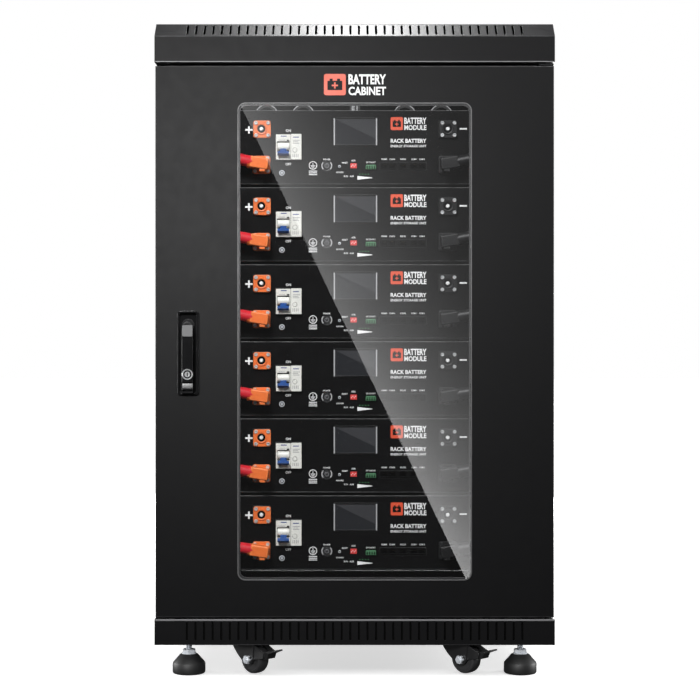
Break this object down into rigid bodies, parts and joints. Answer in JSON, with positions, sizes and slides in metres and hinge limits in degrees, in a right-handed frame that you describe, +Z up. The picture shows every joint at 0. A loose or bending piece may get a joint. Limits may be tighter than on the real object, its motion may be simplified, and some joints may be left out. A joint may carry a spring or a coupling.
{
  "type": "rack battery cabinet",
  "caption": "Free-standing 19-inch rack cabinet with a glazed, locking front door and a stack of rack batteries inside, on levelling feet and swivel casters.",
  "frame": {"origin": "on the floor, under the middle of the object's box", "axes": "+X right as seen from the front, -Y towards the front (door side), +Z up"},
  "size_m": [0.677, 0.7, 1.108],
  "materials": {
    "black_powder_coat": "fine-textured satin black powder coat",
    "black_rail_steel": "satin black powder coat",
    "black_case_steel": "satin black paint on folded steel",
    "copper_bar": "bare drawn copper, stood in for by brass in the mass",
    "tinted_glass": "grey-tinted toughened glass, polished",
    "zinc_plate": "bright zinc plating",
    "black_handle_plastic": "satin glass-filled nylon",
    "orange_plastic": "orange moulded plastic on a red cable",
    "black_plug_plastic": "black moulded plastic on a black cable",
    "blue_toggle_plastic": "glossy blue moulding",
    "black_button_plastic": "glossy black moulding",
    "black_rubber_foot": "matt black moulded foot with a zinc-plated stud",
    "black_caster_steel": "black-coated pressed steel",
    "black_wheel_nylon": "black nylon wheel"
  },
  "bodies": {
    "cabinet": {"base_frame": "black_powder_coat", "cabinet_frame": "black_powder_coat", "roof_cover": "black_powder_coat", "rear_panel": "black_powder_coat", "left_side_panel": "black_powder_coat", "right_side_panel": "black_powder_coat", "rack_rail_left": "black_rail_steel", "rack_rail_right": "black_rail_steel", "positive_busbar": "copper_bar", "negative_busbar": "copper_bar", "battery_1": "black_case_steel", "positive_lead_1": "orange_plastic", "negative_lead_1": "black_plug_plastic", "battery_2": "black_case_steel", "positive_lead_2": "orange_plastic", "negative_lead_2": "black_plug_plastic", "battery_3": "black_case_steel", "positive_lead_3": "orange_plastic", "negative_lead_3": "black_plug_plastic", "battery_4": "black_case_steel", "positive_lead_4": "orange_plastic", "negative_lead_4": "black_plug_plastic", "battery_5": "black_case_steel", "positive_lead_5": "orange_plastic", "negative_lead_5": "black_plug_plastic", "battery_6": "black_case_steel", "positive_lead_6": "orange_plastic", "negative_lead_6": "black_plug_plastic"},
    "door": {"door_panel": "black_powder_coat", "door_glass": "tinted_glass", "handle_housing": "black_handle_plastic"},
    "handle_rotor": {"handle_rotor": "zinc_plate"},
    "handle_lever": {"handle_lever": "black_handle_plastic"},
    "lock_cylinder": {"lock_cylinder": "zinc_plate"},
    "breaker_toggle_1": {"breaker_toggle_1": "blue_toggle_plastic"},
    "power_button_1": {"power_button_1": "black_button_plastic"},
    "breaker_toggle_2": {"breaker_toggle_2": "blue_toggle_plastic"},
    "power_button_2": {"power_button_2": "black_button_plastic"},
    "breaker_toggle_3": {"breaker_toggle_3": "blue_toggle_plastic"},
    "power_button_3": {"power_button_3": "black_button_plastic"},
    "breaker_toggle_4": {"breaker_toggle_4": "blue_toggle_plastic"},
    "power_button_4": {"power_button_4": "black_button_plastic"},
    "breaker_toggle_5": {"breaker_toggle_5": "blue_toggle_plastic"},
    "power_button_5": {"power_button_5": "black_button_plastic"},
    "breaker_toggle_6": {"breaker_toggle_6": "blue_toggle_plastic"},
    "power_button_6": {"power_button_6": "black_button_plastic"},
    "levelling_foot_front_left": {"levelling_foot_front_left": "black_rubber_foot"},
    "levelling_foot_front_right": {"levelling_foot_front_right": "black_rubber_foot"},
    "levelling_foot_rear_left": {"levelling_foot_rear_left": "black_rubber_foot"},
    "levelling_foot_rear_right": {"levelling_foot_rear_right": "black_rubber_foot"},
    "caster_fork_front_left": {"caster_fork_front_left": "black_caster_steel"},
    "caster_wheel_front_left": {"caster_wheel_front_left": "black_wheel_nylon"},
    "brake_lever_front_left": {"brake_lever_front_left": "black_caster_steel"},
    "caster_fork_front_right": {"caster_fork_front_right": "black_caster_steel"},
    "caster_wheel_front_right": {"caster_wheel_front_right": "black_wheel_nylon"},
    "brake_lever_front_right": {"brake_lever_front_right": "black_caster_steel"},
    "caster_fork_rear_left": {"caster_fork_rear_left": "black_caster_steel"},
    "caster_wheel_rear_left": {"caster_wheel_rear_left": "black_wheel_nylon"},
    "caster_fork_rear_right": {"caster_fork_rear_right": "black_caster_steel"},
    "caster_wheel_rear_right": {"caster_wheel_rear_right": "black_wheel_nylon"}
  },
  "joints": [
    {"name": "door_hinge", "type": "hinge", "parent": "cabinet", "child": "door", "pos_m": [0.327, -0.316, 0.566], "axis": [0, 0, 1], "range_deg": [0, 115]},
    {"name": "handle_turn", "type": "hinge", "parent": "door", "child": "handle_rotor", "pos_m": [-0.281, -0.335, 0.594], "axis": [0, -1, 0], "range_deg": [0, 90]},
    {"name": "handle_lift", "type": "hinge", "parent": "handle_rotor", "child": "handle_lever", "pos_m": [-0.281, -0.3415, 0.594], "axis": [-1, 0, 0], "range_deg": [0, 28]},
    {"name": "key_turn", "type": "hinge", "parent": "handle_lever", "child": "lock_cylinder", "pos_m": [-0.281, -0.346, 0.511], "axis": [0, 1, 0], "range_deg": [0, 90]},
    {"name": "breaker_1_switch", "type": "hinge", "parent": "cabinet", "child": "breaker_toggle_1", "pos_m": [-0.123, -0.258, 0.9035], "axis": [-1, 0, 0], "range_deg": [0, 96]},
    {"name": "power_button_1_press", "type": "slide", "parent": "cabinet", "child": "power_button_1", "axis": [0, 1, 0], "range_m": [0, 0.002], "stiffness_N_per_m": 250, "springref_m": -0.001},
    {"name": "breaker_2_switch", "type": "hinge", "parent": "cabinet", "child": "breaker_toggle_2", "pos_m": [-0.123, -0.258, 0.77015], "axis": [-1, 0, 0], "range_deg": [0, 96]},
    {"name": "power_button_2_press", "type": "slide", "parent": "cabinet", "child": "power_button_2", "axis": [0, 1, 0], "range_m": [0, 0.002], "stiffness_N_per_m": 250, "springref_m": -0.001},
    {"name": "breaker_3_switch", "type": "hinge", "parent": "cabinet", "child": "breaker_toggle_3", "pos_m": [-0.123, -0.258, 0.6368], "axis": [-1, 0, 0], "range_deg": [0, 96]},
    {"name": "power_button_3_press", "type": "slide", "parent": "cabinet", "child": "power_button_3", "axis": [0, 1, 0], "range_m": [0, 0.002], "stiffness_N_per_m": 250, "springref_m": -0.001},
    {"name": "breaker_4_switch", "type": "hinge", "parent": "cabinet", "child": "breaker_toggle_4", "pos_m": [-0.123, -0.258, 0.50345], "axis": [-1, 0, 0], "range_deg": [0, 96]},
    {"name": "power_button_4_press", "type": "slide", "parent": "cabinet", "child": "power_button_4", "axis": [0, 1, 0], "range_m": [0, 0.002], "stiffness_N_per_m": 250, "springref_m": -0.001},
    {"name": "breaker_5_switch", "type": "hinge", "parent": "cabinet", "child": "breaker_toggle_5", "pos_m": [-0.123, -0.258, 0.3701], "axis": [-1, 0, 0], "range_deg": [0, 96]},
    {"name": "power_button_5_press", "type": "slide", "parent": "cabinet", "child": "power_button_5", "axis": [0, 1, 0], "range_m": [0, 0.002], "stiffness_N_per_m": 250, "springref_m": -0.001},
    {"name": "breaker_6_switch", "type": "hinge", "parent": "cabinet", "child": "breaker_toggle_6", "pos_m": [-0.123, -0.258, 0.23675], "axis": [-1, 0, 0], "range_deg": [0, 96]},
    {"name": "power_button_6_press", "type": "slide", "parent": "cabinet", "child": "power_button_6", "axis": [0, 1, 0], "range_m": [0, 0.002], "stiffness_N_per_m": 250, "springref_m": -0.001},
    {"name": "foot_front_left_height", "type": "slide", "parent": "cabinet", "child": "levelling_foot_front_left", "axis": [0, 0, 1], "range_m": [-0.015, 0]},
    {"name": "foot_front_right_height", "type": "slide", "parent": "cabinet", "child": "levelling_foot_front_right", "axis": [0, 0, 1], "range_m": [-0.015, 0]},
    {"name": "foot_rear_left_height", "type": "slide", "parent": "cabinet", "child": "levelling_foot_rear_left", "axis": [0, 0, 1], "range_m": [-0.015, 0]},
    {"name": "foot_rear_right_height", "type": "slide", "parent": "cabinet", "child": "levelling_foot_rear_right", "axis": [0, 0, 1], "range_m": [-0.015, 0]},
    {"name": "caster_front_left_swivel", "type": "hinge", "parent": "cabinet", "child": "caster_fork_front_left", "pos_m": [-0.18, -0.291, 0.06], "axis": [0, 0, 1], "continuous": true},
    {"name": "caster_front_left_roll", "type": "hinge", "parent": "caster_fork_front_left", "child": "caster_wheel_front_left", "pos_m": [-0.16993, -0.30073, 0.026], "axis": [0.6947, 0.7193, 0], "continuous": true},
    {"name": "brake_front_left_press", "type": "hinge", "parent": "caster_fork_front_left", "child": "brake_lever_front_left", "pos_m": [-0.14691, -0.32295, 0.036], "axis": [0.6947, 0.7193, 0], "range_deg": [0, 18]},
    {"name": "caster_front_right_swivel", "type": "hinge", "parent": "cabinet", "child": "caster_fork_front_right", "pos_m": [0.18, -0.291, 0.06], "axis": [0, 0, 1], "continuous": true},
    {"name": "caster_front_right_roll", "type": "hinge", "parent": "caster_fork_front_right", "child": "caster_wheel_front_right", "pos_m": [0.19073, -0.3, 0.026], "axis": [0.6428, 0.766, 0], "continuous": true},
    {"name": "brake_front_right_press", "type": "hinge", "parent": "caster_fork_front_right", "child": "brake_lever_front_right", "pos_m": [0.21524, -0.32057, 0.036], "axis": [0.6428, 0.766, 0], "range_deg": [0, 18]},
    {"name": "caster_rear_left_swivel", "type": "hinge", "parent": "cabinet", "child": "caster_fork_rear_left", "pos_m": [-0.18, 0.314, 0.06], "axis": [0, 0, 1], "continuous": true},
    {"name": "caster_rear_left_roll", "type": "hinge", "parent": "caster_fork_rear_left", "child": "caster_wheel_rear_left", "pos_m": [-0.16648, 0.31038, 0.026], "axis": [0.2588, 0.9659, 0], "continuous": true},
    {"name": "caster_rear_right_swivel", "type": "hinge", "parent": "cabinet", "child": "caster_fork_rear_right", "pos_m": [0.18, 0.314, 0.06], "axis": [0, 0, 1], "continuous": true},
    {"name": "caster_rear_right_roll", "type": "hinge", "parent": "caster_fork_rear_right", "child": "caster_wheel_rear_right", "pos_m": [0.16788, 0.307, 0.026], "axis": [0.5, -0.866, 0], "continuous": true}
  ]
}
